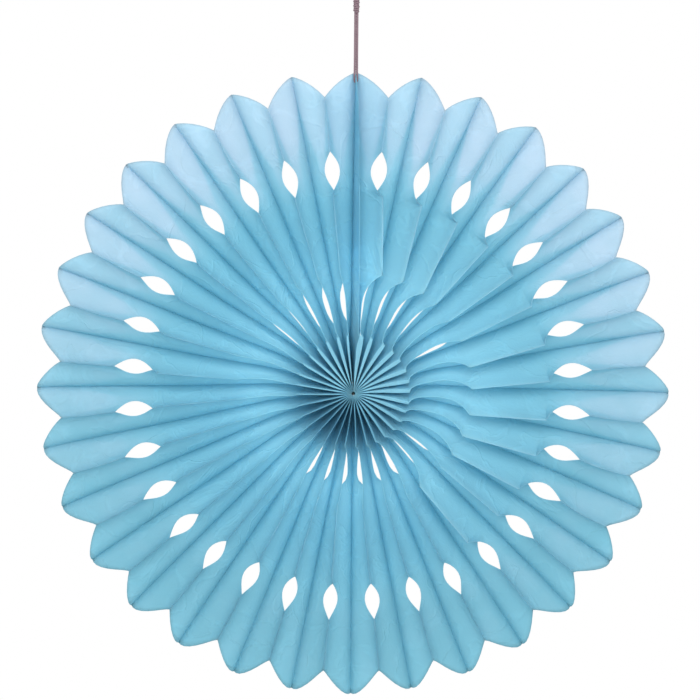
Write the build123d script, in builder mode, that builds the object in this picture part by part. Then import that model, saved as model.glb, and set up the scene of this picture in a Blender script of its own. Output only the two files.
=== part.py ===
from build123d import *
from math import acos, atan2, cos, degrees, hypot, radians, sin, sqrt, tan
import os

# A hanging fan rosette of pleated tissue paper, in millimetres.
# The fan's axis is Y, its front faces -Y, and one petal tip points straight up, along +Z.
# The origin is on the axis, half way through the paper's depth.

# The strip of paper, folded to and fro
petal_count = 32
fan_radius = 200.0
hub_radius = 4.0
rim_fold_depth = 11.95
paper_thickness = 0.25

# The scalloped rim: valley folds end in rounded tips, ridge folds end in notches
notch_depth = 16.0
tip_round = 12.0
tip_chords = 6

# Half-lens cuts in the ridge folds, which open into lens holes
outer_cut_inset = 35.5
outer_cut_length = 22.0
outer_cut_depth = 7.8
inner_cut_start = 35.0
inner_cut_length = 36.0
inner_cut_depth = 9.0
cut_chords = 4

# The thread through the inner ends of the pleats
thread_diameter = 0.8
thread_ring_radius = 6.2
thread_clearance = 0.35

# The string, which hangs the fan by a hole through the two glued end panels
string_diameter = 1.1
string_clearance = 0.1
string_hole_diameter = 2.2
string_hole_from_tip = 7.7
string_hole_from_fold = 4.5
string_rise = 41.0

# The overhand knot in the doubled string, and the loop above it
knot_diameter = 4.4
knot_length = 6.4
knot_turns = 3
knot_clearance = 0.05
loop_neck = 6.5
loop_length = 28.0
loop_width = 9.0

half_pitch = radians(180 / petal_count)
notch_radius = fan_radius - notch_depth
outer_cut_end = notch_radius - outer_cut_inset
outer_cut_start = outer_cut_end - outer_cut_length
inner_cut_end = inner_cut_start + inner_cut_length
string_hole_radius = fan_radius - string_hole_from_tip
os.makedirs("parts", exist_ok=True)


def fold_spread(radius):
    """Distance from a valley fold to the next ridge fold, seen from the front."""
    return 2 * radius * tan(half_pitch / 2)


pleat_width = hypot(fold_spread(fan_radius), rim_fold_depth)


def fold_depth(radius):
    """Distance from the valley folds to the ridge folds along the fan's axis."""
    return sqrt(pleat_width**2 - fold_spread(radius) ** 2)


# The end panels are glued face to face, and stand forward of the top valley fold
fin_front = fold_depth(notch_radius) / 2 - pleat_width
fan_back = (pleat_width + paper_thickness) / 2
middle_y = -(fin_front + fan_back) / 2


def valley_y(radius):
    """How far back the valley folds lie."""
    return middle_y + fold_depth(radius) / 2


def on_ray(radius, turn):
    """Across and up to a point on a ray that leans clockwise from straight up."""
    return Vector(radius * sin(turn), radius * cos(turn))


def panel_corners(radius):
    """A panel's cross-section, from its valley edge at the back to its ridge edge in front."""
    spread = fold_spread(radius)
    depth = fold_depth(radius)
    slant = paper_thickness / 2 * pleat_width / spread
    crest = spread * (slant - paper_thickness / 2) / depth
    valley_side = [
        (-spread / 2, (depth + paper_thickness) / 2),
        (crest - spread / 2, (depth + paper_thickness) / 2),
        (spread / 2, slant - depth / 2),
    ]
    ridge_side = [(-across, -along) for across, along in valley_side]
    lean = half_pitch / 2
    return [
        Vector(
            radius * sin(lean) + across * cos(lean),
            middle_y + along,
            radius * cos(lean) - across * sin(lean),
        )
        for across, along in valley_side + ridge_side
    ]


def facets_between(inner, outer):
    """Flat facets from one cross-section to the next, each wide face creased once."""
    loops = []
    for i in range(6):
        j = (i + 1) % 6
        if i == 1:
            loops += [(inner[i], inner[j], outer[j]), (inner[i], outer[j], outer[i])]
        elif i == 4:
            loops += [(inner[i], inner[j], outer[i]), (inner[j], outer[j], outer[i])]
        else:
            loops.append((inner[i], inner[j], outer[j], outer[i]))
    return [Face(Wire.make_polygon(loop)) for loop in loops]


def folded_panel(radii):
    """One panel of the strip, which turns from edge-on at the hub to nearly flat at the rim."""
    rings = [panel_corners(radius) for radius in radii]
    faces = [Face(Wire.make_polygon(ring)) for ring in (rings[0], rings[-1])]
    for inner, outer in zip(rings, rings[1:]):
        faces += facets_between(inner, outer)
    return Solid(Shell(faces))


def lens_hole(plane, start, end, depth):
    """Two bowed edges that meet in points, as a half-lens cut in a folded edge opens out."""
    middle = (start + end) / 2
    along = (end - start) / 2
    bulge = along.normalized().rotate(Axis.Z, 90) * depth
    shares = [2 * i / cut_chords - 1 for i in range(cut_chords)]
    near = [middle + along * share + bulge * (1 - share**2) for share in shares]
    far = [middle - along * share - bulge * (1 - share**2) for share in shares]
    with BuildSketch(plane) as hole:
        with BuildLine():
            Polyline(*near, *far, close=True)
        make_face()
    return hole.sketch


def rim_waste(plane, notch):
    """What is cut away outside one petal: a rounded tip with straight sides to its notches."""
    round_centre = fan_radius - tip_round
    reach = hypot(notch.X, notch.Y - round_centre)
    turn = atan2(notch.X, notch.Y - round_centre) - acos(tip_round / reach)
    shares = [2 * i / tip_chords - 1 for i in range(tip_chords + 1)]
    tip = [Vector(0, round_centre) + on_ray(tip_round, turn * share) for share in shares]
    past = notch + (notch - tip[-1])
    top = fan_radius + tip_round
    with BuildSketch(plane) as waste:
        with BuildLine():
            Polyline(
                *tip,
                (past.X, past.Y),
                (past.X, top),
                (-past.X, top),
                (-past.X, past.Y),
                close=True,
            )
        make_face()
    return waste.sketch


# Stations along a panel: at the ends of its cuts, and between them where it turns fastest
station_radii = [
    hub_radius,
    inner_cut_start / 2,
    inner_cut_start,
    inner_cut_end,
    outer_cut_start,
    outer_cut_end,
    (outer_cut_end + fan_radius) / 2,
    fan_radius + tip_round / 10,
]
thread_slot = thread_diameter + 2 * thread_clearance

# One panel, from the valley fold in the plane X = 0 to the ridge fold half a pitch on
with BuildPart() as panel:
    add(folded_panel(station_radii))
    for start, end, depth in (
        (inner_cut_start, inner_cut_end, inner_cut_depth),
        (outer_cut_start, outer_cut_end, outer_cut_depth),
    ):
        seen_depth = depth * fold_spread((start + end) / 2) / pleat_width
        ridge_start = on_ray(start, half_pitch)
        ridge_end = on_ray(end, half_pitch)
        extrude(
            lens_hole(Plane.XZ, ridge_start, ridge_end, seen_depth),
            amount=pleat_width,
            both=True,
            mode=Mode.SUBTRACT,
        )
    extrude(
        rim_waste(Plane.XZ, on_ray(notch_radius, half_pitch)),
        amount=pleat_width,
        both=True,
        mode=Mode.SUBTRACT,
    )
    with Locations(Location((0, middle_y, 0), (0, degrees(half_pitch / 2), 0))):
        with Locations((0, 0, thread_ring_radius)):
            Box(fold_spread(thread_ring_radius), thread_slot, thread_slot, mode=Mode.SUBTRACT)

# Two panels make a petal, folded at its middle line
with BuildPart() as petal:
    add(panel.part)
    mirror(about=Plane.YZ)

# The end panels, in a plane of their own that looks across them from the left
fin_plane = Plane(origin=(0, valley_y(fan_radius), 0), x_dir=(0, -1, 0), z_dir=(-1, 0, 0))


def fin_edge(radius, from_valley):
    """A point of the end panels, at a distance forward of the valley fold."""
    return Vector(valley_y(fan_radius) - valley_y(radius) + from_valley, radius)


with BuildPart() as end_panels:
    with BuildSketch(fin_plane):
        with BuildLine():
            Polyline(
                *[fin_edge(radius, -paper_thickness / 2) for radius in station_radii],
                *[fin_edge(radius, pleat_width) for radius in reversed(station_radii)],
                close=True,
            )
        make_face()
    extrude(amount=paper_thickness, both=True)
    for start, end, depth in (
        (inner_cut_start, inner_cut_end, inner_cut_depth),
        (outer_cut_start, outer_cut_end, outer_cut_depth),
    ):
        front_start = fin_edge(start, pleat_width)
        front_end = fin_edge(end, pleat_width)
        extrude(
            lens_hole(fin_plane, front_start, front_end, depth),
            amount=pleat_width,
            both=True,
            mode=Mode.SUBTRACT,
        )
    extrude(
        rim_waste(fin_plane, fin_edge(notch_radius, pleat_width)),
        amount=pleat_width,
        both=True,
        mode=Mode.SUBTRACT,
    )
    with BuildSketch(fin_plane):
        with Locations(fin_edge(string_hole_radius, string_hole_from_fold)):
            Circle(string_hole_diameter / 2)
    extrude(amount=pleat_width, both=True, mode=Mode.SUBTRACT)
    with Locations((0, middle_y, thread_ring_radius)):
        Box(4 * paper_thickness, thread_slot, thread_slot, mode=Mode.SUBTRACT)

turns = [Location((0, 0, 0), (0, 360 / petal_count * k, 0)) for k in range(petal_count)]

with BuildPart() as pleated_paper:
    with Locations(*turns):
        add(petal.part)
    add(end_panels.part)

# The thread runs round the hub, through every panel
with BuildPart() as gather_thread:
    with Locations(Location((0, middle_y, 0), (90, 0, 0))):
        Torus(thread_ring_radius, thread_diameter / 2)

# The string bears on the hole's upper edge, one strand on each side of the end panels
string_y = valley_y(string_hole_radius) - string_hole_from_fold
strand_x = paper_thickness + string_clearance + string_diameter / 2
string_bottom = (
    string_hole_radius + (string_hole_diameter - string_diameter) / 2 - string_clearance
)
knot_bottom = string_hole_radius + string_rise
knot_top = knot_bottom + knot_length
loop_top = knot_top + loop_length
string_plane = Plane.XZ.offset(-string_y)

# Half of the string's closed route: hole, knot and the end of the loop that a hook holds
flare_start = knot_top + loop_neck
flare_end = loop_top - loop_width
string_route = [
    (0, string_bottom),
    (-strand_x, string_bottom),
    (-strand_x, flare_start),
    (-loop_width / 2, flare_end),
    (-loop_width / 2, loop_top),
    (0, loop_top),
]
flare_turn = atan2(loop_width / 2 - strand_x, flare_end - flare_start)
string_bends = [
    0.95 * strand_x,
    0.45 * (flare_end - flare_start) / tan(flare_turn / 2),
    0.45 * loop_width / tan(flare_turn / 2),
    0.95 * loop_width / 2,
]
print("string bend radii:", [round(bend, 2) for bend in string_bends])

with BuildPart() as hanging_string:
    with BuildLine(string_plane) as string_path:
        FilletPolyline(*string_route, radius=string_bends)
    with BuildSketch(Plane(string_path.line @ 0, z_dir=string_path.line % 0)):
        Circle(string_diameter / 2)
    sweep()
    mirror(about=Plane.YZ)

knot_pitch = knot_length / knot_turns

with BuildPart() as string_knot:
    with BuildSketch(string_plane):
        with BuildLine():
            waist = 0.4 * knot_diameter
            for turn in range(knot_turns):
                low = knot_bottom + turn * knot_pitch
                ThreePointArc(
                    (waist, low),
                    (knot_diameter / 2, low + knot_pitch / 2),
                    (waist, low + knot_pitch),
                )
            Polyline((waist, knot_top), (0, knot_top), (0, knot_bottom), (waist, knot_bottom))
        make_face()
    revolve(axis=Axis((0, string_y, 0), (0, 0, 1)))
    with Locations(
        (-strand_x, string_y, knot_bottom + knot_length / 2),
        (strand_x, string_y, knot_bottom + knot_length / 2),
    ):
        Cylinder(string_diameter / 2 + knot_clearance, knot_length, mode=Mode.SUBTRACT)

pleated_paper.part.label = "pleated_paper"
gather_thread.part.label = "gather_thread"
hanging_string.part.label = "hanging_string"
string_knot.part.label = "string_knot"

export_step(pleated_paper.part, "parts/pleated_paper.step")
export_step(gather_thread.part, "parts/gather_thread.step")
export_step(hanging_string.part, "parts/hanging_string.step")
export_step(string_knot.part, "parts/string_knot.step")
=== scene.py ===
"""The looks of a hanging paper fan rosette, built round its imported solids."""

from math import cos, pi, radians, sin

import bpy
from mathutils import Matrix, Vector


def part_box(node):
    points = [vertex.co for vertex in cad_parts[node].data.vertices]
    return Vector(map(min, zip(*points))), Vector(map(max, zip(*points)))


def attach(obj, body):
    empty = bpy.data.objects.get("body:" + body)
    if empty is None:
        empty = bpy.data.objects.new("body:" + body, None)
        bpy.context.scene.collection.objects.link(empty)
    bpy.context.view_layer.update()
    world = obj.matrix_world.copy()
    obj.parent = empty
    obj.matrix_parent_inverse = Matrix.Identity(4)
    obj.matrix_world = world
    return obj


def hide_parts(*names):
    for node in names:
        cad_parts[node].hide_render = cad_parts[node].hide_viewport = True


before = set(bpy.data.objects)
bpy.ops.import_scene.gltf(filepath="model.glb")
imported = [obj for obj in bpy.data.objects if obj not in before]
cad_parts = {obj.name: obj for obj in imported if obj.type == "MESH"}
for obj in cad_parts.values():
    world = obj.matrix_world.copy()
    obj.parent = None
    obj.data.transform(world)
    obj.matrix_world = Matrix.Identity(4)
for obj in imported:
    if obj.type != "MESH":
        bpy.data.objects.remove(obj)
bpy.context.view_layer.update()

bl_info = {
    "name": "Paper Fan Rosette",
    "version": (1, 0, 0),
    "blender": (4, 5, 0),
    "location": "3D View > Sidebar > Paper Fan",
    "description": "Builds a pleated tissue-paper fan with its string, and the studio round it",
    "category": "Object",
}

MM = 0.001
PAPER_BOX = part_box("pleated_paper")
STRING_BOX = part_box("hanging_string")
KNOT_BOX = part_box("string_knot")
STRING_Y = (STRING_BOX[0].y + STRING_BOX[1].y) / 2


class PaperSettings(bpy.types.PropertyGroup):
    """The folded strip of tissue paper."""

    petals: bpy.props.IntProperty(
        name="Petals", description="Valley folds round the fan", default=32, min=8, max=64
    )
    fan_radius: bpy.props.FloatProperty(
        name="Fan Radius",
        description="From the hub to a petal's tip",
        default=PAPER_BOX[1].x,
        unit="LENGTH",
    )
    hub_radius: bpy.props.FloatProperty(
        name="Hub Radius",
        description="From the fan's axis to the gathered inner ends",
        default=1.2 * MM,
        unit="LENGTH",
    )
    pleat_width: bpy.props.FloatProperty(
        name="Pleat Width",
        description="One panel's width, from fold to fold",
        default=23 * MM,
        unit="LENGTH",
    )
    middle: bpy.props.FloatProperty(
        name="Middle",
        description="How far back the middle of the pleats lies",
        default=2.13 * MM,
        unit="LENGTH",
    )
    thickness: bpy.props.FloatProperty(
        name="Thickness", description="The tissue's thickness", default=0.12 * MM, unit="LENGTH"
    )
    notch_depth: bpy.props.FloatProperty(
        name="Notch Depth",
        description="How far the notches lie inside the petal tips",
        default=17.4 * MM,
        unit="LENGTH",
    )
    tip_power: bpy.props.FloatProperty(
        name="Tip Power",
        description="Power of the outline's fall from tip to notch: 1 is straight, 2 is round",
        default=1.47,
    )
    inner_cut_start: bpy.props.FloatProperty(
        name="Inner Cut Start",
        description="From the hub to the inner cuts",
        default=35 * MM,
        unit="LENGTH",
    )
    inner_cut_length: bpy.props.FloatProperty(
        name="Inner Cut Length", description="Along a ridge fold", default=39 * MM, unit="LENGTH"
    )
    inner_cut_share: bpy.props.FloatProperty(
        name="Inner Cut Share",
        description="Share of a panel that an inner cut takes at its middle",
        default=0.25,
        subtype="FACTOR",
    )
    outer_cut_start: bpy.props.FloatProperty(
        name="Outer Cut Start",
        description="From the hub to the outer cuts",
        default=125.3 * MM,
        unit="LENGTH",
    )
    outer_cut_length: bpy.props.FloatProperty(
        name="Outer Cut Length", description="Along a ridge fold", default=24.2 * MM, unit="LENGTH"
    )
    outer_cut_share: bpy.props.FloatProperty(
        name="Outer Cut Share",
        description="Share of a panel that an outer cut takes at its middle",
        default=0.42,
        subtype="FACTOR",
    )
    inner_spring: bpy.props.FloatProperty(
        name="Inner Spring",
        description="How tightly the folds stay pressed between the hub and the inner cuts",
        default=0.65,
        subtype="FACTOR",
    )
    outer_spring: bpy.props.FloatProperty(
        name="Outer Spring",
        description="How tightly the folds stay pressed out at the petals",
        default=0.45,
        subtype="FACTOR",
    )
    crease_width: bpy.props.FloatProperty(
        name="Crease Width",
        description="Half the width of a ridge's flopped fold at the hub",
        default=1.2 * MM,
        unit="LENGTH",
    )
    overlap_gap: bpy.props.FloatProperty(
        name="Overlap Gap",
        description="From a closed inner cut's front edge back to the edge that lies behind it",
        default=1.2 * MM,
        unit="LENGTH",
    )
    tip_sag: bpy.props.FloatProperty(
        name="Tip Sag",
        description="How far the petal tips hang below their circle",
        default=1.7 * MM,
        unit="LENGTH",
    )
    unevenness: bpy.props.FloatProperty(
        name="Unevenness",
        description="The span in which a valley fold's place at the rim varies",
        default=0.3 * MM,
        unit="LENGTH",
    )
    crumple: bpy.props.FloatProperty(
        name="Crumple",
        description="Height of the fine wrinkles in the tissue",
        default=0.7 * MM,
        unit="LENGTH",
    )
    seed: bpy.props.IntProperty(
        name="Seed", description="Picks how each valley fold strays", default=10
    )
    colour: bpy.props.FloatVectorProperty(
        name="Colour",
        description="The tissue's colour in reflected light",
        default=(0.29, 0.6, 0.71),
        size=3,
        subtype="COLOR",
    )
    glow: bpy.props.FloatVectorProperty(
        name="Glow",
        description="The tissue's colour in light that comes through it",
        default=(0.42, 0.73, 0.83),
        size=3,
        subtype="COLOR",
    )
    # Painted highlight: the petals near the top are paler where the lamp above lights them
    highlight_colour: bpy.props.FloatVectorProperty(
        name="Highlight Colour",
        description="The colour of the petals near the top, which are faded, in reflected light",
        default=(0.6, 0.72, 0.82),
        size=3,
        subtype="COLOR",
    )
    # The painted highlight's colour in the light that comes through
    highlight_glow: bpy.props.FloatVectorProperty(
        name="Highlight Glow",
        description="The faded petals' colour in light that comes through them",
        default=(0.62, 0.75, 0.85),
        size=3,
        subtype="COLOR",
    )
    # Painted light: the ring round the inner cuts is lightened where it lies in shade between the
    # pleats
    ring_light_colour: bpy.props.FloatVectorProperty(
        name="Pale Colour",
        description="The colour round the inner cuts, where folds and light have bleached it",
        default=(0.36, 0.72, 0.8),
        size=3,
        subtype="COLOR",
    )
    # Painted light down in the valleys round the hub, where they lie in shade
    valley_light_colour: bpy.props.FloatVectorProperty(
        name="Valley Colour",
        description="The light colour down in the valleys round the hub",
        default=(0.55, 0.88, 0.93),
        size=3,
        subtype="COLOR",
    )
    # Painted shade on the pleats below the hub, away from the lamp
    hub_shade_colour: bpy.props.FloatVectorProperty(
        name="Hub Colour",
        description="The deeper blue of the pressed folds below the hub",
        default=(0.08, 0.27, 0.4),
        size=3,
        subtype="COLOR",
    )
    see_through: bpy.props.FloatProperty(
        name="See Through",
        description="Share of the light that the tissue lets through",
        default=0.55,
        subtype="FACTOR",
    )


class StringSettings(bpy.types.PropertyGroup):
    """The string and its knot."""

    diameter: bpy.props.FloatProperty(
        name="Diameter", description="The string's diameter", default=1.4 * MM, unit="LENGTH"
    )
    lay_length: bpy.props.FloatProperty(
        name="Lay Length",
        description="The length in which the plies go once round",
        default=4.5 * MM,
        unit="LENGTH",
    )
    plies: bpy.props.IntProperty(
        name="Plies", description="Yarns that are twisted together", default=3, min=2, max=5
    )
    colour: bpy.props.FloatVectorProperty(
        name="Colour",
        description="The string's dusky mauve-brown",
        default=(0.205, 0.14, 0.165),
        size=3,
        subtype="COLOR",
    )
    thread_colour: bpy.props.FloatVectorProperty(
        name="Thread Colour",
        description="The gathering thread's white",
        default=(0.78, 0.8, 0.78),
        size=3,
        subtype="COLOR",
    )


class StudioSettings(bpy.types.PropertyGroup):
    """The camera, lamp and floor."""

    azimuth: bpy.props.FloatProperty(
        name="Azimuth",
        description="The camera's turn round the fan",
        default=radians(1.08),
        subtype="ANGLE",
    )
    elevation: bpy.props.FloatProperty(
        name="Elevation",
        description="The camera's height above the fan's middle",
        default=radians(10.98),
        subtype="ANGLE",
    )
    roll: bpy.props.FloatProperty(
        name="Roll", description="The camera's lean", default=radians(0.52), subtype="ANGLE"
    )
    distance: bpy.props.FloatProperty(
        name="Distance", description="From the camera to the fan", default=1.192, unit="LENGTH"
    )
    focal_px: bpy.props.FloatProperty(
        name="Focal Length",
        description="Focal length in pixels of the 700 pixel wide picture",
        default=1896.0,
        subtype="PIXEL",
    )
    middle_right: bpy.props.FloatProperty(
        name="Middle Right",
        description="How far right of the picture's left edge the fan's middle falls",
        default=353.0,
        subtype="PIXEL",
    )
    middle_down: bpy.props.FloatProperty(
        name="Middle Down",
        description="How far below the picture's top edge the fan's middle falls",
        default=392.7,
        subtype="PIXEL",
    )
    floor_drop: bpy.props.FloatProperty(
        name="Floor Drop", description="From the hub down to the floor", default=0.9, unit="LENGTH"
    )
    lamp_power: bpy.props.FloatProperty(
        name="Lamp Power", description="Power of the main lamp", default=6.7, subtype="POWER"
    )
    world_strength: bpy.props.FloatProperty(
        name="World Strength", description="Brightness of the room's even light", default=1.0
    )


class Value:
    """A socket of a node tree, on which Python's operators add Math nodes."""

    def __init__(self, graph, socket):
        self.graph = graph
        self.socket = socket

    def math(self, operation, *others):
        return self.graph.add("ShaderNodeMath", [self, *others], operation=operation)

    def __add__(self, other):
        return self.math("ADD", other)

    __radd__ = __add__

    def __sub__(self, other):
        return self.math("SUBTRACT", other)

    def __rsub__(self, other):
        return self.graph.add("ShaderNodeMath", [other, self], operation="SUBTRACT")

    def __mul__(self, other):
        return self.math("MULTIPLY", other)

    __rmul__ = __mul__

    def __truediv__(self, other):
        return self.math("DIVIDE", other)

    def __rtruediv__(self, other):
        return self.graph.add("ShaderNodeMath", [other, self], operation="DIVIDE")

    def __mod__(self, other):
        return self.math("FLOORED_MODULO", other)

    def clamp(self, low=0.0, high=1.0):
        return self.math("MAXIMUM", low).math("MINIMUM", high)

    def smooth(self, low, high):
        """0 below low, 1 above high, and a smooth rise between them."""
        share = ((self - low) / (high - low)).clamp()
        return share * share * (3 - 2 * share)

    def hump(self, low, high, fall, end):
        """0 below low, 1 from high to fall, and 0 again past the end."""
        return self.smooth(low, high) * (1 - self.smooth(fall, end))

    def between(self, places, values):
        """A value that runs straight from each place's value to the next."""
        total = values[0]
        for low, high, first, last in zip(places, places[1:], values, values[1:]):
            total = total + ((self - low) / (high - low)).clamp() * (last - first)
        return total


class Graph:
    """A node tree that is written as Python expressions."""

    def __init__(self, tree):
        self.tree = tree

    def add(self, kind, values=(), output=0, **settings):
        """Add a node: its settings first, then the values or links of its sockets."""
        node = self.tree.nodes.new(kind)
        for name, value in settings.items():
            setattr(node, name, value)
        pairs = values.items() if isinstance(values, dict) else enumerate(values)
        for place, value in pairs:
            if isinstance(value, Value):
                self.tree.links.new(value.socket, node.inputs[place])
            else:
                node.inputs[place].default_value = value
        return Value(self, node.outputs[output])

    def part(self, value, output):
        """Another output of the node that a value comes from."""
        return Value(self, value.socket.node.outputs[output])

    def vector(self, x, y, z):
        return self.add("ShaderNodeCombineXYZ", [x, y, z])

    def split(self, vector):
        x = self.add("ShaderNodeSeparateXYZ", [vector])
        return x, self.part(x, 1), self.part(x, 2)

    def scaled(self, vector, factor):
        """A vector or a colour times a number."""
        return self.add("ShaderNodeVectorMath", {0: vector, "Scale": factor}, operation="SCALE")

    def noise(self, place, scale, detail, roughness=0.5, distortion=0.0):
        """Soft random clouds, from 0 to 1."""
        return self.add(
            "ShaderNodeTexNoise",
            {
                "Vector": place,
                "Scale": scale,
                "Detail": detail,
                "Roughness": roughness,
                "Distortion": distortion,
            },
        )

    def attribute(self, name):
        """A number that the piece's mesh carries, in a material."""
        return self.add("ShaderNodeAttribute", attribute_name=name, output="Fac")

    def store(self, geometry, name, value, domain="POINT", kind="FLOAT"):
        """Keep a value on the geometry under a name."""
        return self.add(
            "GeometryNodeStoreNamedAttribute",
            {"Geometry": geometry, "Name": name, "Value": value},
            data_type=kind,
            domain=domain,
        )

    def stored(self, name, kind="FLOAT"):
        """A value that the geometry keeps under that name."""
        return self.add("GeometryNodeInputNamedAttribute", {"Name": name}, data_type=kind)

    def blend(self, share, first, second):
        """From the first colour to the second."""
        return self.add(
            "ShaderNodeMix",
            {"Factor": share, "A": first, "B": second},
            output="Result",
            data_type="RGBA",
        )


def new_modifier_tree(name, sizes):
    """A Geometry Nodes tree with a geometry, its named sizes and a material as its inputs."""
    tree = bpy.data.node_groups.new(name, "GeometryNodeTree")
    tree.interface.new_socket("Geometry", in_out="INPUT", socket_type="NodeSocketGeometry")
    for label, value in sizes.items():
        kind = "NodeSocketInt" if isinstance(value, int) else "NodeSocketFloat"
        tree.interface.new_socket(label, in_out="INPUT", socket_type=kind)
    tree.interface.new_socket("Material", in_out="INPUT", socket_type="NodeSocketMaterial")
    tree.interface.new_socket("Geometry", in_out="OUTPUT", socket_type="NodeSocketGeometry")
    graph = Graph(tree)
    source = tree.nodes.new("NodeGroupInput")
    given = {socket.name: Value(graph, socket) for socket in source.outputs if socket.name}
    return graph, given


def finish_tree(graph, given, geometry):
    """End the tree in real geometry with its material."""
    real = graph.add("GeometryNodeRealizeInstances", [geometry])
    painted = graph.add(
        "GeometryNodeSetMaterial", {"Geometry": real, "Material": given["Material"]}
    )
    target = graph.tree.nodes.new("NodeGroupOutput")
    graph.tree.links.new(painted.socket, target.inputs["Geometry"])


def run_tree(carrier, tree, sizes, material):
    """Give the tree its inputs, and return its result as a plain mesh."""
    modifier = carrier.modifiers.new(tree.name, "NODES")
    modifier.node_group = tree
    values = {**sizes, "Material": material}
    for item in tree.interface.items_tree:
        if item.in_out == "INPUT" and item.name in values:
            modifier[item.identifier] = values[item.name]
    return baked_mesh(carrier)


def baked_mesh(carrier):
    """The carrier's evaluated shape as a plain mesh. The carrier is removed."""
    bpy.context.view_layer.update()
    evaluated = carrier.evaluated_get(bpy.context.evaluated_depsgraph_get())
    mesh = bpy.data.meshes.new_from_object(evaluated)
    bpy.data.objects.remove(carrier)
    return mesh


def new_object(name, data):
    """An object in the scene, at the origin."""
    piece = bpy.data.objects.new(name, data)
    bpy.context.scene.collection.objects.link(piece)
    return piece


def place_piece(piece, node):
    """Fix a finished piece to the part's body, in place of its solid."""
    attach(piece, "root")
    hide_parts(node)
    return piece


def tree_inputs(group, names):
    """Those settings' values, under the labels of a tree's inputs."""
    return {name.replace("_", " ").title(): getattr(group, name) for name in names}


PLEAT_INPUTS = (
    "petals fan_radius hub_radius pleat_width middle thickness notch_depth tip_power "
    "inner_cut_start inner_cut_length inner_cut_share outer_cut_start outer_cut_length "
    "outer_cut_share inner_spring outer_spring crease_width overlap_gap tip_sag unevenness "
    "crumple seed"
).split()

# Quads across a panel. The last one is the narrow crease beside the ridge.
ACROSS = 9
CREASE = 0.045

# Quads along a panel: up to the inner cut, along it, the blade, the blade's end, along the
# outer cut, and the petal. Those of the two cuts crowd towards the cuts' ends.
ALONG = (8, 16, 10, 3, 14, 12)
CUT_STRETCHES = (1, 4)

# The outline of the cuts: 0.5 is a half ellipse, 1 a parabola
INNER_CUT_POWER = 0.85
OUTER_CUT_POWER = 0.7

# How the ridges' lean changes: how far inside the outer cut the blade ends, how far past that
# its lean fades, how fast the hub's lean fades, and the lean along the outer cut
BLADE_END_GAP = 3 * MM
BLADE_CURL = 4 * MM
HUB_LEAN_POWER = 8.0
HOLE_LEAN = 0.6 * MM

# How far the folds ride above their even height at each distance from the hub, in millimetres
LIFT_PLACES = (0, 20, 52, 100, 140, 184, 200)
RIDGE_LIFT = (1.5, 2.2, 3.2, 3.1, 3.0, 1.7, 0)
VALLEY_LIFT = (1.5, 2.6, 3.6, 1.6, 1.0, 0.4, 0)

# How far the fin's front and back edges lean to the right, in millimetres. Its two panels lie
# a little apart, and their front part curls over.
FIN_PLACES = (0, 33, 36, 59, 122, 150, 185, 196)
FIN_FRONT = (0, 4.2, 3.0, 3.1, 2.7, 2.2, 1.2, 0.1)
FIN_BACK = (0, -2.6, -2.4, -1.2, -0.9, -0.5, -0.2, 0)
FIN_SPACING = 0.8
FIN_CURL = 0.6

# Where the folds' spring changes from the hub's to the petals', in millimetres from the hub
SPRING_PLACES = (60, 140)

# A ridge's crease narrows to the flat one's half width between two distances from the hub, in
# millimetres. At the hub it swings with the turn from the top, in radians, where it is widest.
# It takes no more than a limit of its panel's spread, and a small share of its depth.
CREASE_PLACES = (34, 38)
FLAT_CREASE = 0.1 * MM
CREASE_EVEN = 0.56
CREASE_SWING = 0.44
WIDEST_CREASE = 0.7
CREASE_LIMIT = 0.42
CREASE_START = 9 * MM
CREASE_DEPTH = 0.012

# The slits in the inner cuts: how far from the hub their middles lie, how much farther at the
# top than at the sides, and half their length. Past its ends a slit is a little more than shut.
# The lower edge slips behind the upper one soon after the cut's end.
SLIT_MIDDLE = 52.5 * MM
SLIT_SHIFT = 3 * MM
SLIT_REACH = 12 * MM
SLIT_POWER = 4.0
SHUT_SLIT = -0.1
OVERLAP_RISE = 6

# The tissue's fine wrinkles, the folds that stay sharp, and what counts as one point
WRINKLE_SCALE = 55.0
SHARP_FOLD = radians(38)
SEAM = 0.004 * MM

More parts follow.
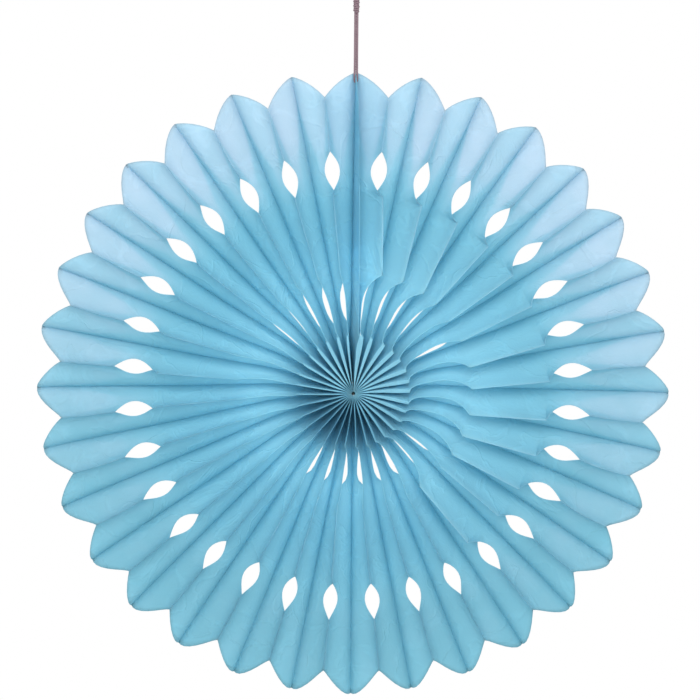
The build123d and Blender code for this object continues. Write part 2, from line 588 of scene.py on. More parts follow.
# Each petal's folds, clockwise from the top. First how far its ridge leans clockwise, in
# millimetres: at the blade's outer end, at its inner end, at the hub's end of the inner cut,
# and half way up the petal. Then how far its inner cut stands open. Last where the folds meet
# the rim: the valley's millimetres clockwise of its even place and beyond the fan's radius,
# and the ridge's millimetres clockwise.
FOLDS = (
    (4.0, 9.6, 1.5, 0.0, 0.6, 0.0, 0.0, 2.0),
    (5.0, 8.4, 0.6, 0.2, 1.2, 1.5, 1.4, 1.3),
    (6.0, 8.7, 2.6, 0.2, 1.1, 0.8, 1.2, 0.4),
    (5.6, 4.0, 2.9, 0.2, 0.7, 0.6, 1.3, 0.9),
    (5.3, 3.0, 2.9, 0.4, -0.3, 0.8, 1.0, 1.1),
    (4.2, 3.4, 3.5, 1.4, 1.4, 0.2, 0.9, 0.5),
    (6.2, 6.5, 3.8, 0.6, -0.3, 0.0, 0.5, 0.5),
    (5.4, 5.7, 3.1, -0.1, -0.3, -0.4, 0.0, 0.5),
    (6.1, 7.9, 4.0, 0.5, -0.3, 0.0, 0.0, 0.4),
    (6.4, 7.7, 2.9, 1.2, -0.3, -0.8, -0.4, -0.4),
    (6.3, 6.6, 2.9, 1.2, -0.3, -0.8, -0.4, -0.5),
    (3.4, 2.4, 2.6, 0.3, 1.1, -0.8, -0.7, 0.0),
    (5.7, 6.2, 2.9, 0.1, 0.8, -0.2, -0.8, -0.4),
    (1.0, 1.0, 2.4, 0.1, 2.4, -0.2, -0.9, 0.5),
    (0.3, 0.5, 1.6, 0.0, 2.2, 0.2, -0.9, 0.0),
    (0.5, 1.0, 1.9, 0.0, 2.6, -0.8, -1.1, -0.2),
    (1.0, 2.5, 1.9, 0.0, 2.2, -0.4, -1.1, -0.5),
    (0.8, 1.0, 1.0, 0.0, 1.8, -1.0, -1.0, -1.1),
    (0.8, 1.0, 0.5, 0.0, 1.8, -1.4, -0.9, -1.1),
    (0.2, 0.6, 0.7, -0.1, -0.3, 0.2, -1.1, -0.4),
    (0.2, 1.0, 1.0, -0.2, -0.3, 0.0, -1.1, -0.5),
    (1.0, 2.0, 1.3, -0.5, -0.3, -0.2, -1.1, 0.0),
    (1.2, 1.8, 1.3, -0.4, -0.3, 0.4, -1.1, 0.4),
    (0.9, 1.3, 1.8, -0.3, -0.3, 0.8, -1.1, 0.7),
    (-2.0, -0.5, 0.8, -0.3, -0.3, 1.4, -1.1, 0.5),
    (-1.2, 0.0, 0.4, -0.4, -0.3, 1.2, -0.6, 0.5),
    (-0.8, 0.5, 0.6, -0.4, -0.3, 0.6, -0.2, 0.4),
    (-0.6, 0.3, 0.2, -0.5, 0.7, 0.2, 0.4, 0.0),
    (-0.6, -0.3, 0.0, -0.6, 0.4, 0.2, 0.8, -0.2),
    (-0.2, -0.5, 0.0, -0.6, 1.2, 0.0, 1.2, 0.2),
    (-0.5, -1.0, 0.5, 0.0, 2.0, 0.2, 1.0, -0.2),
    (-0.8, -1.2, 0.0, 0.0, 2.4, -0.4, 0.9, -1.1),
)
FOLD_NAMES = (
    "lean_outer lean_inner lean_hub lean_petal open valley_turn reach ridge_turn"
).split()


def fold_points():
    """A point for each petal that carries its folds' measures as attributes."""
    mesh = bpy.data.meshes.new("paper_carrier")
    mesh.from_pydata([(0, 0, 0)] * len(FOLDS), [], [])
    for column, name in enumerate(FOLD_NAMES):
        values = mesh.attributes.new(name, "FLOAT", "POINT")
        for petal, measures in enumerate(FOLDS):
            scale = 1 if name == "open" else MM
            values.data[petal].value = measures[column] * scale
    return mesh


def in_mm(numbers):
    """Those millimetres in metres."""
    return [number * MM for number in numbers]


def panel_strip(graph, panels):
    """Flat grids, one for each panel, that keep their panel's number and their own places."""
    along = sum(ALONG)
    grid = graph.add(
        "GeometryNodeMeshGrid",
        {"Size X": 1.0, "Size Y": 1.0, "Vertices X": ACROSS + 1, "Vertices Y": along + 1},
    )
    place = graph.add("GeometryNodeInputPosition")
    marked = graph.store(grid, "strip", place, kind="FLOAT_VECTOR")
    rows = graph.add("GeometryNodePoints", {"Count": panels})
    copies = graph.add("GeometryNodeInstanceOnPoints", {"Points": rows, "Instance": marked})
    loose = graph.add("GeometryNodeRealizeInstances", [copies])
    index = graph.add("GeometryNodeInputIndex")
    number = (index / ((ACROSS + 1) * (along + 1))).math("FLOOR")
    strip = graph.store(loose, "panel", number)
    across, up, _ = graph.split(graph.stored("strip", kind="FLOAT_VECTOR"))
    return strip, graph.stored("panel"), across + 0.5, (up + 0.5) * along


def wrinkled(graph, geometry, crumple):
    """The geometry with fine wrinkles of that height."""
    normal = graph.add("GeometryNodeInputNormal")
    place = graph.add("GeometryNodeInputPosition")
    height = (graph.noise(place, WRINKLE_SCALE, 2.0, 0.55) - 0.5) * crumple
    lift = graph.scaled(normal, height)
    return graph.add("GeometryNodeSetPosition", {"Geometry": geometry, "Offset": lift})


def shaded(graph, geometry):
    """The geometry with smooth faces and sharp folds."""
    smooth = graph.add(
        "GeometryNodeSetShadeSmooth", {"Geometry": geometry, "Shade Smooth": True}, domain="FACE"
    )
    sharp = graph.add("GeometryNodeInputMeshEdgeAngle").math("GREATER_THAN", SHARP_FOLD)
    return graph.add(
        "GeometryNodeSetShadeSmooth",
        {"Geometry": smooth, "Selection": sharp, "Shade Smooth": False},
        domain="EDGE",
    )


def pleat_tree(sizes):
    """The folded strip: a flat grid for each panel, moved to its place between two folds."""
    graph, given = new_modifier_tree("Pleated paper", sizes)
    folds = 2 * given["Petals"]
    step = 2 * pi / folds
    width = given["Pleat Width"]
    rim = given["Fan Radius"]
    notch = rim - given["Notch Depth"]
    strip, panel, across, station = panel_strip(graph, folds + 2)
    odd = panel % 2

    def chance(fold):
        """A random value that belongs to a fold. The strip's two ends share theirs."""
        return graph.add(
            "FunctionNodeRandomValue",
            {2: -1.0, 3: 1.0, "ID": (fold - 1) % folds, "Seed": given["Seed"]},
            output=1,
            data_type="FLOAT",
        )

    def measured(name, petal):
        """A petal's value from the carrier's attributes."""
        return graph.add(
            "GeometryNodeSampleIndex",
            {"Geometry": given["Geometry"], "Value": graph.stored(name), "Index": petal},
            data_type="FLOAT",
            domain="POINT",
        )

    # Every panel runs from its valley fold, at share 0, to its ridge fold, at share 1
    valley = panel + 1 - odd
    ridge = panel + odd
    column = (across * odd + (1 - across) * (1 - odd)) * ACROSS
    share = (column / (ACROSS - 1)).clamp() * (1 - CREASE) + (column - ACROSS + 1).clamp() * CREASE
    ridge_place = (ridge - 1).clamp(0.0, folds)
    free_edge = (ridge - 1 - ridge_place).math("ABSOLUTE")
    held = 1 - free_edge
    ridge_petal = (ridge / 2 - 1).clamp(0.0, given["Petals"] - 1)
    valley_petal = ((valley - 1) / 2) % given["Petals"]
    valley_angle = (valley - 1) * step + measured("valley_turn", valley_petal) / rim
    ridge_angle = ridge_place * step + measured("ridge_turn", ridge_petal) / rim * held

    # The distance from the hub grows from station to station, and the last ones end at the rim
    inner_start = given["Inner Cut Start"]
    inner_end = inner_start + given["Inner Cut Length"]
    outer_start = given["Outer Cut Start"]
    outer_end = outer_start + given["Outer Cut Length"]
    blade_end = outer_start - BLADE_END_GAP
    tip = rim - given["Tip Sag"] * valley_angle.math("COSINE") + measured("reach", valley_petal)
    seen = share - given["Outer Spring"] * (2 * pi * share).math("SINE") / (2 * pi)
    outline = tip + (notch - tip) * seen.math("POWER", given["Tip Power"])
    marks = [given["Hub Radius"], inner_start, inner_end, blade_end]
    marks += [outer_start, outer_end, outline]
    radius = marks[0]
    passed = 0
    for stretch, (count, low, high) in enumerate(zip(ALONG, marks, marks[1:])):
        reach = ((station - passed) / count).clamp()
        if stretch in CUT_STRETCHES:
            reach = (1 - (reach * pi).math("COSINE")) / 2
        radius = radius + reach * (high - low)
        passed += count

    # Half-lens cuts, open at the ridge folds
    gap = 0.0
    for start, length, depth, power in (
        (inner_start, given["Inner Cut Length"], given["Inner Cut Share"], INNER_CUT_POWER),
        (outer_start, given["Outer Cut Length"], given["Outer Cut Share"], OUTER_CUT_POWER),
    ):
        off = (radius - start - length / 2) / (length / 2)
        gap = (1 - off * off).math("MAXIMUM", 0.0).math("POWER", power) * depth + gap
    share = share * (1 - gap)

    # How far the ridges lean clockwise: the blades between the cuts have flopped over
    middle_cut = (inner_start + inner_end) / 2
    near_hub = (radius / inner_start).clamp()
    past_hub = 1 - ((radius - inner_start) / (middle_cut - inner_start)).clamp()
    near_blade = ((radius - middle_cut) / (inner_end - middle_cut)).clamp()
    on_blade = ((radius - inner_end) / (blade_end - inner_end)).clamp()
    past_blade = 1 - ((radius - blade_end) / BLADE_CURL).clamp()
    in_hole = ((radius - outer_start) / (outer_end - outer_start)).clamp()
    on_petal = ((radius - outer_end) / (notch - outer_end)).clamp()
    at_hub = near_hub * near_hub * past_hub.math("POWER", HUB_LEAN_POWER)
    lean = (
        measured("lean_hub", ridge_petal) * at_hub
        + measured("lean_inner", ridge_petal) * near_blade * near_blade * (1 - on_blade)
        + measured("lean_outer", ridge_petal) * on_blade * past_blade * past_blade
        + measured("lean_petal", ridge_petal) * (on_petal * pi).math("SINE")
        + HOLE_LEAN * (in_hole * pi).math("SINE")
    )

    # How the pleats stand
    spread = 2 * radius * (step / 2).math("TANGENT")
    deep = (width * width - spread * spread).math("SQRT")
    ridge_deep = (deep * deep - lean * lean * held).math("MAXIMUM", 0.0).math("SQRT")
    valley_y = given["Middle"] + deep / 2
    ridge_y = valley_y - ridge_deep * held - width * free_edge

    # The middle of the fan rides higher than its rim
    ridge_lift = radius.between(in_mm(LIFT_PLACES), in_mm(RIDGE_LIFT))
    valley_lift = radius.between(in_mm(LIFT_PLACES), in_mm(VALLEY_LIFT))

    # A panel's section: it stands steeper beside its folds, and the ridge is a little rounded
    springs = [given["Inner Spring"], given["Outer Spring"]]
    spring = radius.between(in_mm(SPRING_PLACES), springs) * held
    flopped = CREASE_EVEN + CREASE_SWING * (ridge_angle - WIDEST_CREASE).math("COSINE")
    crease_widths = [given["Crease Width"], FLAT_CREASE]
    crease_width = radius.between(in_mm(CREASE_PLACES), crease_widths) * flopped
    rounded = (crease_width / spread).clamp(0.0, CREASE_LIMIT) * held
    rounded = rounded * (radius / CREASE_START).clamp()
    dip = CREASE_DEPTH * held

    def section(here):
        """How far across and how deep a panel has gone, from its valley to its ridge."""
        flat = (here / (1 - CREASE)).clamp()
        crease = ((here - 1 + CREASE) / CREASE).clamp()
        wave = spring * (2 * pi * flat).math("SINE") / (2 * pi)
        part = (flat - wave) * (1 - rounded) + rounded * crease
        depth_part = flat + wave * (spread * spread) / (deep * deep)
        return part, depth_part * (1 - dip) + dip * crease

    part, depth_part = section(share)

    # At the fan's sides the inner cuts are shut: the lower panel's edge has slid behind the
    # upper one's. In the other ones a slit stays open half way along.
    right_half = ridge_angle.math("SINE").math("GREATER_THAN", 0.0)
    lower = odd + right_half - 2 * odd * right_half
    middle_slit = SLIT_MIDDLE + SLIT_SHIFT * ridge_angle.math("COSINE")
    window = 1 - ((radius - middle_slit) / SLIT_REACH).math("POWER", SLIT_POWER)
    slit = measured("open", ridge_petal) * window.math("MAXIMUM", SHUT_SLIT)
    edge_part, _ = section(1 - gap)
    along_panel = share / (1 - gap)
    in_cut = radius.math("LESS_THAN", inner_end) * radius.math("GREATER_THAN", inner_start)
    near_edge = along_panel * along_panel * lower * held * in_cut
    slide = (2 * odd - 1) * (1 - slit) * 2 * (1 - edge_part) * near_edge
    set_back = given["Overlap Gap"] * (1 - slit) * near_edge * (gap * OVERLAP_RISE).clamp()

    # The strip's two ends are glued face to face and lean to the right as one fin
    fin_front = radius.between(in_mm(FIN_PLACES), in_mm(FIN_FRONT))
    fin_back = radius.between(in_mm(FIN_PLACES), in_mm(FIN_BACK))
    first_end = 1 - (valley - 1).clamp()
    last_end = (valley - folds + 1).clamp()
    at_join = first_end + last_end
    apart = given["Thickness"] * FIN_SPACING * (first_end - last_end)

    def on_fan(angle, sideways):
        """Across and up, at this distance from the hub and that far clockwise of the angle."""
        sine = angle.math("SINE")
        cosine = angle.math("COSINE")
        return radius * sine + sideways * cosine, radius * cosine - sideways * sine

    wander = chance(valley) * given["Unevenness"] / 2 * radius / rim * (1 - at_join)
    vx, vz = on_fan(valley_angle, wander + fin_back * at_join + apart)
    rx, rz = on_fan(ridge_angle, (fin_back + apart) * free_edge)
    ahead = (
        share * share * held * lean
        + slide * spread
        + share.smooth(0.0, FIN_CURL) * free_edge * (fin_front - fin_back)
    )
    x = vx + (rx - vx) * part + ahead * ridge_angle.math("COSINE")
    z = vz + (rz - vz) * part - ahead * ridge_angle.math("SINE")
    z = z + valley_lift + (ridge_lift * held + valley_lift * free_edge - valley_lift) * share
    y = valley_y + (ridge_y - valley_y) * depth_part + set_back
    point = graph.vector(x, y, z)
    folded = graph.add("GeometryNodeSetPosition", {"Geometry": strip, "Position": point})

    sheet_place = graph.vector((panel + across) * width, radius, 0.0)
    lower_panel = (lower * held).math("MAXIMUM", at_join) + free_edge
    kept = graph.store(folded, "sheet_uv", sheet_place, domain="CORNER", kind="FLOAT2")
    kept = graph.store(kept, "fold_share", share)
    kept = graph.store(kept, "lower_panel", lower_panel, domain="FACE")
    kept = graph.store(kept, "to_rim", outline - radius)
    joined = graph.add("GeometryNodeMergeByDistance", {"Geometry": kept, "Distance": SEAM})
    finish_tree(graph, given, shaded(graph, wrinkled(graph, joined, given["Crumple"])))
    return graph.tree


def material_graph(name):
    """A new material, and its empty node tree."""
    material = bpy.data.materials.new(name)
    material.use_nodes = True
    material.node_tree.nodes.clear()
    return material, Graph(material.node_tree)


def end_material(graph, surface):
    """Give the material its surface."""
    output = graph.tree.nodes.new("ShaderNodeOutputMaterial")
    graph.tree.links.new(surface.socket, output.inputs["Surface"])


# Where the tissue's zones begin and end, as shares of the fan's radius from the hub. The ring,
# valley and inner zones carry painted light, and the hub zone painted shade.
HUB_ZONE = (0.12, 0.24)
INNER_LIGHT_ZONE = (0.3, 0.68)
RING_LIGHT_ZONE = (0.15, 0.21, 0.32, 0.6)
VALLEY_LIGHT_ZONE = (0.09, 0.14, 0.3, 0.5)
PETAL_ZONE = (0.58, 0.8)
RIDGE_HIGHLIGHT_ZONE = (0.3, 0.5)

# The same across a panel, from its valley fold at 0 to its ridge fold at 1: the painted highlight
# on the ridges, and the side of the valleys' painted light
RIDGE_HIGHLIGHT = (0.94, 1.0)
VALLEY_LIGHT_SIDE = (0.3, 0.9)

# Bands of painted shade beside a panel's folds, which the painted highlight leaves out. They start
# near the rim, and widen inwards over a stretch of the radius to those shares of the panel, with
# soft edges.
SHADE_BAND_END = 0.95
SHADE_BAND_STRETCH = 0.22
RIDGE_SHADE_WIDTH = 0.4
VALLEY_SHADE_WIDTH = 0.5
RIDGE_SHADE_EDGE = (0.98, 1.12)
VALLEY_SHADE_EDGE = (-0.15, 0.0)

# How far up the fan the petals' painted highlight sets in and is full, as shares of its radius
TOP_HIGHLIGHT_ZONE = (-0.9, 0.8)

# The darker edge, by the distance from the rim
EDGE_ZONE = (0.3 * MM, 1.0 * MM)

# The fibres run along the panels: their scale across and along one
FIBRE_SCALE = (2600.0, 340.0, 1.0)
VEIN_SHARPNESS = 26


def tissue_material(paper):
    """Light blue tissue: fine fibres, soft wrinkles, light that comes through, and painted light
    and shade.
    """
    material, graph = material_graph("blue tissue")
    place = graph.part(graph.add("ShaderNodeTexCoord"), "Object")
    sideways, _, height = graph.split(place)
    sheet = graph.add("ShaderNodeUVMap", uv_map="sheet_uv")
    _, reach, _ = graph.split(sheet)
    rim_share = reach / paper.fan_radius
    share = graph.attribute("fold_share")
    lower = graph.attribute("lower_panel")

    # Clouds, fibres, and the fine creases that run through the tissue like veins
    cloudy = graph.noise(place, 38.0, 3.0, 0.6)
    fibre_place = graph.add("ShaderNodeMapping", {"Vector": sheet, "Scale": FIBRE_SCALE})
    fibres = graph.noise(fibre_place, 1.0, 3.0)
    veins = graph.noise(place, 34.0, 3.0, 0.5, 0.8)
    creased = (1 - (veins - 0.5).math("ABSOLUTE") * VEIN_SHARPNESS).clamp()
    wrinkles = graph.noise(place, 90.0, 4.0, 0.55, 0.6)

    # The zones, and the panels that lie under others or make the fin
    hub = 1 - rim_share.smooth(*HUB_ZONE)
    inner = 1 - rim_share.smooth(*INNER_LIGHT_ZONE)
    # Painted light on the ring round the inner cuts, lifting its shade
    ring = rim_share.hump(*RING_LIGHT_ZONE)
    # Painted light in the valleys round the hub, on their valley side
    deep = rim_share.hump(*VALLEY_LIGHT_ZONE) * (1 - share.smooth(*VALLEY_LIGHT_SIDE))
    petal = rim_share.smooth(*PETAL_ZONE)
    # Painted highlight along the ridge folds, from the middle of the fan outwards
    ridge_highlight = share.smooth(*RIDGE_HIGHLIGHT) * rim_share.smooth(*RIDGE_HIGHLIGHT_ZONE)
    # How far up the fan: painted highlight on the top petals, painted shade on the low ones
    top = ((height + 0.1 * sideways) / paper.fan_radius).smooth(*TOP_HIGHLIGHT_ZONE)
    lit = (sideways * 0.15 + height) / (reach + 2 * MM)
    under = lower.clamp()
    fin = (lower - 1).clamp()

    # Painted highlight paling the petals towards the top, with random clouds, kept off the shaded
    # lower panels and the fold shade
    # Bands of painted shade beside the folds, widening inwards from near the rim
    inward = ((SHADE_BAND_END - rim_share) / SHADE_BAND_STRETCH).clamp()
    ridge_shade = (share + RIDGE_SHADE_WIDTH * inward).smooth(*RIDGE_SHADE_EDGE)
    valley_shade = 1 - (share - VALLEY_SHADE_WIDTH * inward).smooth(*VALLEY_SHADE_EDGE)
    fold_shade = ridge_shade.math("MAXIMUM", valley_shade)
    lower_shade = under * (0.95 - 0.7 * top + 0.4 * fold_shade)
    highlighted = petal * top * (1 - lower_shade).clamp() * (1 - 0.5 * fold_shade * (1 - under))
    highlighted = (highlighted * 0.85 + 0.25 * ridge_highlight) * (2 - lower).clamp()
    highlighted = (highlighted + (cloudy - 0.5) * 0.4 * petal).clamp()

    # Colour: the petals' painted highlight, painted light on the ring and in the valleys, and
    # painted shade below the hub
    colour = graph.blend(highlighted, (*paper.colour, 1), (*paper.highlight_colour, 1))
    colour = graph.blend(0.5 * ring, colour, (*paper.ring_light_colour, 1))
    colour = graph.blend(0.4 * deep, colour, (*paper.valley_light_colour, 1))
    # Painted shade: the hub's pleats darken below and a little to the left, away from the light
    hub_shade = hub * ((0.1 - lit) * 0.9).clamp()
    colour = graph.blend(hub_shade, colour, (*paper.hub_shade_colour, 1))
    tone = 0.92 + 0.12 * cloudy + 0.06 * fibres + 0.07 * creased
    tone = tone * (0.86 + 0.14 * graph.attribute("to_rim").smooth(*EDGE_ZONE))
    # Painted light on the inner pleats, the fin and the lower panels, and painted shade on the
    # petals low on the fan and at the hub
    tone = tone * (1 + 0.2 * inner + 0.2 * fin - 0.12 * petal * (1 - top))
    tone = tone * (1 + 0.08 * under - 0.03 * hub)

    # About half of the light is thrown back, and the rest comes through
    relief = wrinkles + 0.15 * fibres + 0.5 * creased
    bump = graph.add(
        "ShaderNodeBump", {"Strength": 0.7, "Distance": 0.7 * MM, "Height": relief}
    )
    cover = graph.add(
        "ShaderNodeBsdfPrincipled",
        {
            "Base Color": graph.scaled(colour, tone),
            "Roughness": 0.6,
            "Specular IOR Level": 0.15,
            "Normal": bump,
        },
    )
    # The tissue's own glow, and the paler glow of the painted highlight
    plain_glow, pale = (
        graph.add("ShaderNodeBsdfTranslucent", {"Color": (*glow, 1), "Normal": bump})
        for glow in (paper.glow, paper.highlight_glow)
    )
    # The painted highlight and the painted light on the ring, the valleys and the fin also pale
    # the light that comes through
    painted_light_share = (highlighted + 0.2 * ring + 0.2 * deep + 0.3 * fin).clamp()
    through = graph.add("ShaderNodeMixShader", [painted_light_share, plain_glow, pale])
    # Painted shade: less light comes through the hub's lower pleats
    let_through = paper.see_through * (1 + 0.3 * hub * lit.math("MINIMUM", 0.0))
    surface = graph.add("ShaderNodeMixShader", [let_through, cover, through])
    end_material(graph, surface)
    return material


def twisted_material(name, colour, fuzz_scale):
    """Twisted yarn: fuzz and uneven dye."""
    material, graph = material_graph(name)
    place = graph.part(graph.add("ShaderNodeTexCoord"), "Object")
    uneven = graph.noise(place, 260.0, 3.0)
    fuzz = graph.noise(place, fuzz_scale, 4.0)
    tone = 0.72 + 0.35 * uneven + 0.25 * fuzz
    bump = graph.add("ShaderNodeBump", {"Strength": 0.5, "Distance": 0.08 * MM, "Height": fuzz})
    surface = graph.add(
        "ShaderNodeBsdfPrincipled",
        {
            "Base Color": graph.scaled(tuple(colour), tone),
            "Roughness": 0.85,
            "Specular IOR Level": 0.25,
            "Normal": bump,
        },
    )
    end_material(graph, surface)
    return material


class FAN_OT_paper(bpy.types.Operator):
    """Fold the strip of tissue paper into the open fan"""

    bl_idname = "paper_fan.paper"
    bl_label = "Pleated Paper"

    def execute(self, context):
        paper = context.scene.fan_paper
        sizes = tree_inputs(paper, PLEAT_INPUTS)
        carrier = new_object("paper_carrier", fold_points())
        material = tissue_material(paper)
        mesh = run_tree(carrier, pleat_tree(sizes), sizes, material)
        surface = new_object("paper_surface", mesh)
        wall = surface.modifiers.new("Paper thickness", "SOLIDIFY")
        wall.thickness = paper.thickness
        wall.offset = 0.0
        fan = new_object("tissue_fan", baked_mesh(surface))
        place_piece(fan, "pleated_paper")
        return {"FINISHED"}


# The string's route in millimetres, across and up, from the fin's hole round the loop and back
STRING_ROUTE = [
    (0, 192.75),
    (-0.8, 192.75),
    (-0.77, 196.5),
    (-0.66, 202.0),
    (-0.66, 239.6),
    (-0.66, 246.2),
    (-4.5, 258.7),
    (-4.5, 267.7),
    (4.5, 267.7),
    (4.5, 258.7),
    (0.66, 246.2),
    (0.66, 239.6),
    (0.66, 202.0),
    (0.77, 196.5),
    (0.8, 192.75),
    (0, 192.75),
]


def nurbs_curve(name, points):
    """An open NURBS curve through the frame, with those control points."""
    curve = bpy.data.curves.new(name, "CURVE")
    curve.dimensions = "3D"
    curve.resolution_u = 24
    spline = curve.splines.new("NURBS")
    spline.points.add(len(points) - 1)
    for target, point in zip(spline.points, points):
        target.co = (*point, 1.0)
    spline.order_u = 3
    spline.use_endpoint_u = True
    return new_object(name, curve)


# A ply stands proud of the grooves between the plies, as shares of the string's radius
SECTION_SIDES = 18
GROOVE_RADIUS = 0.8
PLY_RISE = 0.22


def twist_tree(sizes):
    """Sweep a lobed section along a curve and turn it as it goes, as plies turn in a string."""
    graph, given = new_modifier_tree("Twisted string", sizes)
    line = graph.add(
        "GeometryNodeResampleCurve",
        {"Curve": given["Geometry"], "Length": given["Step"]},
        mode="LENGTH",
    )
    reach = graph.part(graph.add("GeometryNodeSplineParameter"), "Length")
    turned = graph.add(
        "GeometryNodeSetCurveTilt",
        {"Curve": line, "Tilt": reach * (2 * pi) / given["Lay Length"]},
    )
    ring = graph.add(
        "GeometryNodeCurvePrimitiveCircle", {"Resolution": SECTION_SIDES, "Radius": 1.0}
    )
    place = graph.add("GeometryNodeInputPosition")
    x, y, _ = graph.split(place)
    angle = y.math("ARCTAN2", x)
    lobe = (angle * given["Plies"] / 2).math("COSINE").math("ABSOLUTE")
    size = given["Diameter"] / 2 * (GROOVE_RADIUS + PLY_RISE * lobe)
    section = graph.add(
        "GeometryNodeSetPosition",
        {"Geometry": ring, "Position": graph.vector(x * size, y * size, 0.0)},
    )
    tube = graph.add(
        "GeometryNodeCurveToMesh",
        {"Curve": turned, "Profile Curve": section, "Fill Caps": True},
    )
    smooth = graph.add("GeometryNodeSetShadeSmooth", {"Geometry": tube})
    finish_tree(graph, given, smooth)
    return graph.tree


def route_points(curve):
    """The points that a curve with no bevel runs through."""
    mesh = bpy.data.meshes.new_from_object(curve)
    points = [tuple(vertex.co) for vertex in mesh.vertices]
    bpy.data.meshes.remove(mesh)
    return points


def string_inputs(cord):
    """The sizes of the swept string, with four steps to each diameter of length."""
    sizes = tree_inputs(cord, ("diameter", "lay_length", "plies"))
    return {**sizes, "Step": cord.diameter / 4}


# The knot: close turns round its own strands, which draw in towards its two ends
KNOT_FOOT = 0.6 * MM
KNOT_HEIGHT = 10 * MM
KNOT_RADIUS = 1.35 * MM
KNOT_TURNS = 7.6
KNOT_START = 0.6
KNOT_PLACES = 64
KNOT_TUCK = 0.35
KNOT_TAPER = 1 / 6
KNOT_WAIST = 0.12
KNOT_WAVES = 7.3


def knot_points():
    """The knot's line, from its foot up."""
    middle = (KNOT_BOX[0] + KNOT_BOX[1]) / 2
    points = []
    for place in range(KNOT_PLACES + 1):
        share = place / KNOT_PLACES
        angle = KNOT_START + 2 * pi * KNOT_TURNS * share
        full = min(1, share / KNOT_TAPER, (1 - share) / KNOT_TAPER)
        radius = KNOT_RADIUS * (KNOT_TUCK + (1 - KNOT_TUCK) * full)
        radius *= 1 - KNOT_WAIST * cos(KNOT_WAVES * share * pi)
        points.append(
            (
                middle.x + radius * cos(angle),
                middle.y + radius * sin(angle),
                KNOT_BOX[0].z + KNOT_FOOT + share * KNOT_HEIGHT,
            )
        )
    return points


# Scale of the yarns' fuzz
STRING_FUZZ = 1500.0
THREAD_FUZZ = 2400.0


class FAN_OT_string(bpy.types.Operator):
    """Hang the fan from its doubled string, with the overhand knot"""

    bl_idname = "paper_fan.string"
    bl_label = "Hanging String"

    def execute(self, context):
        cord = context.scene.fan_string
        sizes = string_inputs(cord)
        material = twisted_material("mauve string", cord.colour, STRING_FUZZ)
        knot = run_tree(
            nurbs_curve("knot_route", knot_points()), twist_tree(sizes), sizes, material
        )
        knot_piece = place_piece(new_object("overhand_knot", knot), "string_knot")
        route = [(x * MM, STRING_Y, z * MM) for x, z in STRING_ROUTE]
        curve = nurbs_curve("string_route", route)
        path = route_points(curve)
        string = run_tree(curve, twist_tree(sizes), sizes, material)
        piece = place_piece(new_object("twisted_string", string), "hanging_string")
        return {"FINISHED"}


class FAN_OT_thread(bpy.types.Operator):
    """Give the gathering thread its twisted cotton"""

    bl_idname = "paper_fan.thread"
    bl_label = "Gathering Thread"

    def execute(self, context):
        cord = context.scene.fan_string
        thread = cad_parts["gather_thread"]
        thread.data.materials.clear()
        thread.data.materials.append(
            twisted_material("white cotton", cord.thread_colour, THREAD_FUZZ)
        )
        return {"FINISHED"}


# The studio in metres, with the lamp high in front of the fan
LAMP_PLACE = (0.0, -0.85, 0.62)
LAMP_AIM = (0.0, 0.0, 0.05)
LAMP_SIZE = (0.9, 0.6)
FLOOR_RADIUS = 1.1
FLOOR_SIDES = 96
VIEW_END = 50.0

# The picture's width in pixels, and the camera's sensor in millimetres
PICTURE = 700
SENSOR = 36.0


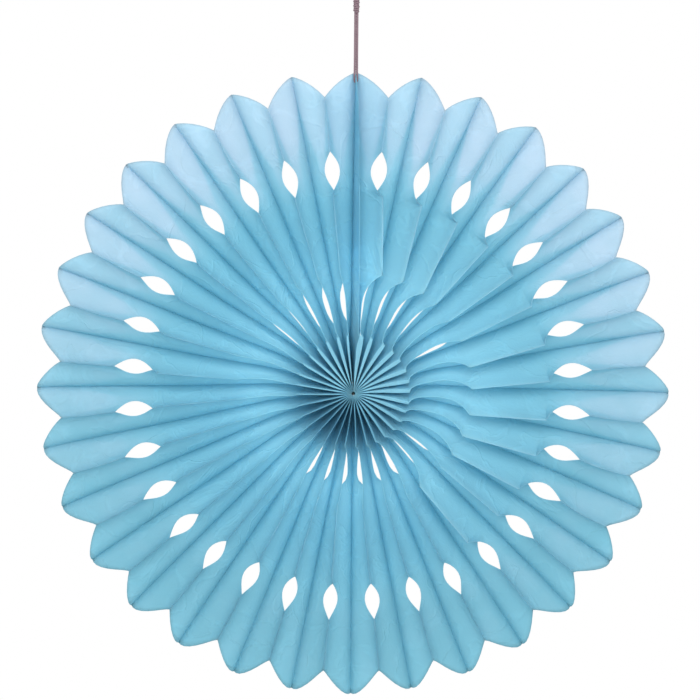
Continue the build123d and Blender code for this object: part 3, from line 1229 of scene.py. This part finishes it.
class FAN_OT_studio(bpy.types.Operator):
    """Set the camera, the lamp, the white room and the pale floor"""

    bl_idname = "paper_fan.studio"
    bl_label = "Studio"

    def execute(self, context):
        studio = context.scene.fan_studio
        middle = context.scene.fan_paper.middle
        self.add_camera(studio, middle)
        self.add_floor(studio)
        self.add_light(studio)
        context.scene.view_settings.view_transform = "Standard"
        return {"FINISHED"}

    def add_camera(self, studio, middle):
        lens = bpy.data.cameras.new("camera")
        lens.sensor_width = SENSOR
        lens.lens = studio.focal_px / PICTURE * SENSOR
        lens.shift_x = 0.5 - studio.middle_right / PICTURE
        lens.shift_y = studio.middle_down / PICTURE - 0.5
        lens.clip_end = VIEW_END
        camera = new_object("camera", lens)
        level = cos(studio.elevation)
        ahead = Vector(
            (
                sin(studio.azimuth) * level,
                cos(studio.azimuth) * level,
                -sin(studio.elevation),
            )
        )
        camera.location = Vector((0, middle, 0)) - ahead * studio.distance
        camera.rotation_euler = ahead.to_track_quat("-Z", "Y").to_euler()
        camera.rotation_euler.rotate_axis("Z", studio.roll)
        bpy.context.scene.camera = camera

    def add_floor(self, studio):
        mesh = bpy.data.meshes.new("floor")
        turns = [2 * pi * side / FLOOR_SIDES for side in range(FLOOR_SIDES)]
        ring = [
            (FLOOR_RADIUS * cos(turn), FLOOR_RADIUS * sin(turn), -studio.floor_drop)
            for turn in turns
        ]
        mesh.from_pydata(ring, [], [tuple(range(FLOOR_SIDES))])
        floor = new_object("floor", mesh)
        material, graph = material_graph("pale floor")
        surface = graph.add(
            "ShaderNodeBsdfPrincipled", {"Base Color": (0.86, 0.86, 0.86, 1), "Roughness": 0.8}
        )
        end_material(graph, surface)
        mesh.materials.append(material)

    def add_light(self, studio):
        lamp = bpy.data.lights.new("main lamp", "AREA")
        lamp.shape = "RECTANGLE"
        lamp.size, lamp.size_y = LAMP_SIZE
        lamp.energy = studio.lamp_power
        holder = new_object("main lamp", lamp)
        holder.location = LAMP_PLACE
        aim = Vector(LAMP_AIM) - Vector(LAMP_PLACE)
        holder.rotation_euler = aim.to_track_quat("-Z", "Y").to_euler()
        world = bpy.data.worlds.new("white room")
        bpy.context.scene.world = world
        world.use_nodes = True
        world.node_tree.nodes.clear()
        graph = Graph(world.node_tree)
        paths = graph.add("ShaderNodeLightPath", output="Is Camera Ray")
        seen = paths.math("MAXIMUM", graph.part(paths, "Is Glossy Ray"))
        seen = seen.math("MAXIMUM", graph.part(paths, "Is Transmission Ray"))
        strength = studio.world_strength + (1 - studio.world_strength) * seen
        light = graph.add("ShaderNodeBackground", {"Color": (1, 1, 1, 1), "Strength": strength})
        output = graph.tree.nodes.new("ShaderNodeOutputWorld")
        graph.tree.links.new(light.socket, output.inputs["Surface"])


class FAN_PT_panel(bpy.types.Panel):
    """The fan's pieces and their settings"""

    bl_idname = "FAN_PT_panel"
    bl_label = "Paper Fan"
    bl_space_type = "VIEW_3D"
    bl_region_type = "UI"
    bl_category = "Paper Fan"

    def draw(self, context):
        for place, kind in SETTINGS.items():
            box = self.layout.box()
            for name in kind.__annotations__:
                box.prop(getattr(context.scene, place), name)
        for operator in STEPS:
            self.layout.operator(operator.bl_idname)


SETTINGS = {
    "fan_paper": PaperSettings,
    "fan_string": StringSettings,
    "fan_studio": StudioSettings,
}
STEPS = (FAN_OT_studio, FAN_OT_string, FAN_OT_paper, FAN_OT_thread)
CLASSES = (*SETTINGS.values(), *STEPS, FAN_PT_panel)


def register():
    """Make the classes and the scene's settings known."""
    for kind in CLASSES:
        bpy.utils.register_class(kind)
    for place, kind in SETTINGS.items():
        setattr(bpy.types.Scene, place, bpy.props.PointerProperty(type=kind))


def unregister():
    """Take them away again."""
    for place in SETTINGS:
        delattr(bpy.types.Scene, place)
    for kind in reversed(CLASSES):
        bpy.utils.unregister_class(kind)


def main():
    """Build the studio and every piece."""
    register()
    bpy.ops.paper_fan.studio()
    bpy.ops.paper_fan.string()
    bpy.ops.paper_fan.paper()
    bpy.ops.paper_fan.thread()


if __name__ == "__main__":
    main()
